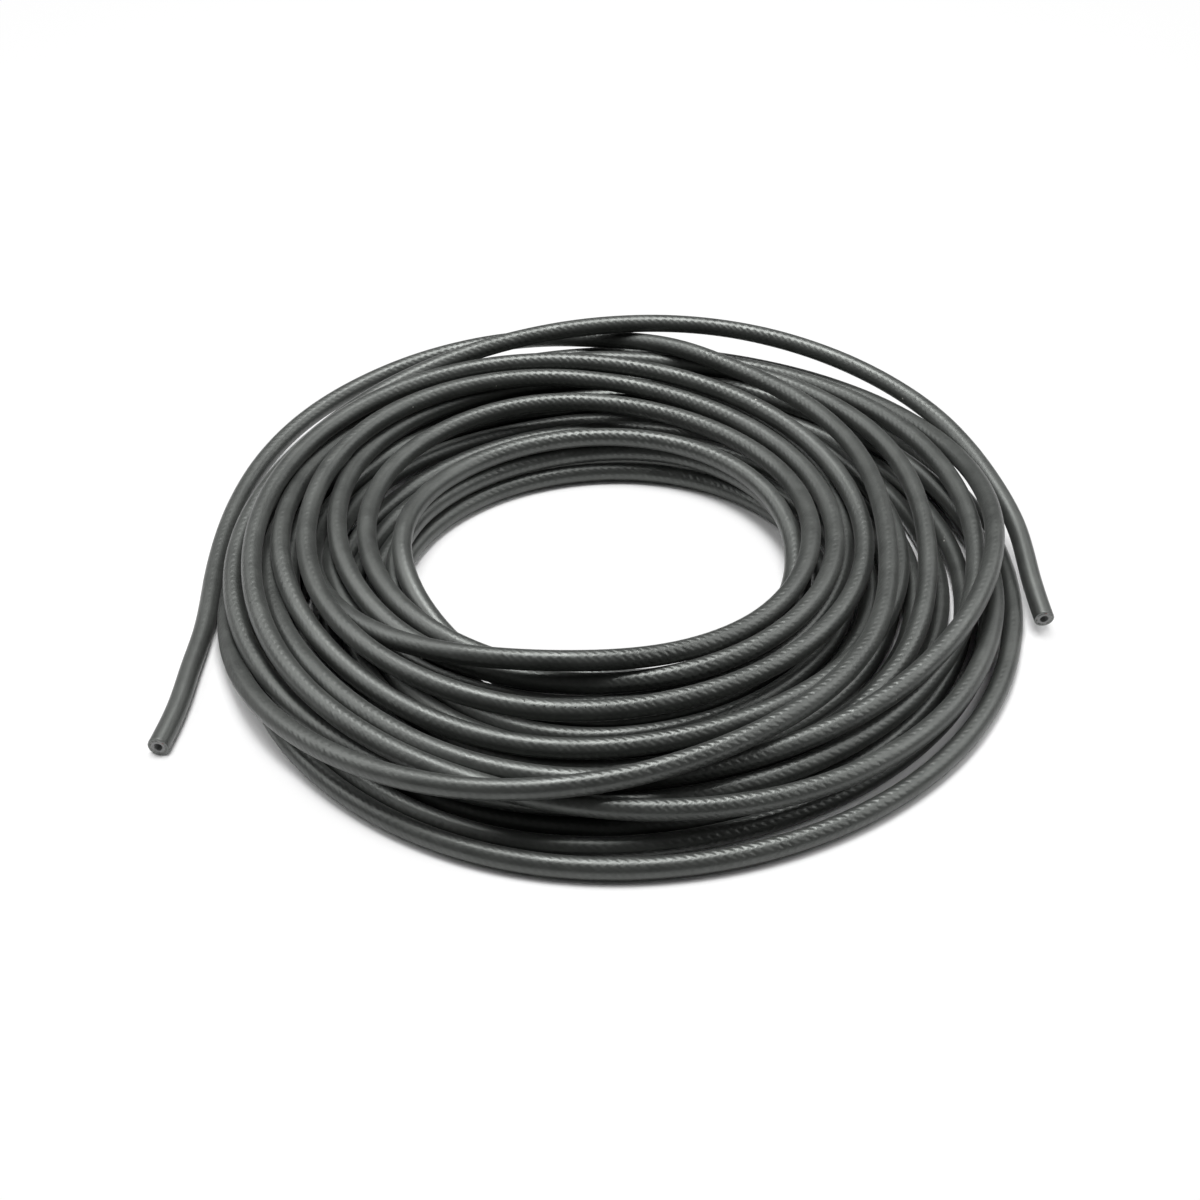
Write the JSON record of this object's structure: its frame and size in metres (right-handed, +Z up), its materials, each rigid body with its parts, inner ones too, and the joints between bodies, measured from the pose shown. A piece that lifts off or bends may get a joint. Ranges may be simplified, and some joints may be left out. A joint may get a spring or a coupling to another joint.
{
  "type": "soaker hose",
  "caption": "Loose round coil of thin black braided rubber soaker hose, both ends cut plain, for slow watering along a plant bed.",
  "frame": {"origin": "on the floor, below the middle of the coil's outline seen from above", "axes": "+Z up, through the hole of the coil; +X towards the side where the end that lies on the coil is; the other cut end points towards -Y"},
  "size_m": [0.3012, 0.2874, 0.0293],
  "materials": {
    "tube_rubber": "matte, freshly cut at the ends",
    "braid_yarn": "rubber-soaked textile yarn, cut ends show as a ring of dots",
    "cover_rubber": "semi-matte, with the braid's herringbone relief pressed through"
  },
  "bodies": {
    "root": {"inner_tube": "tube_rubber", "braid": "braid_yarn", "outer_cover": "cover_rubber"}
  },
  "joints": []
}
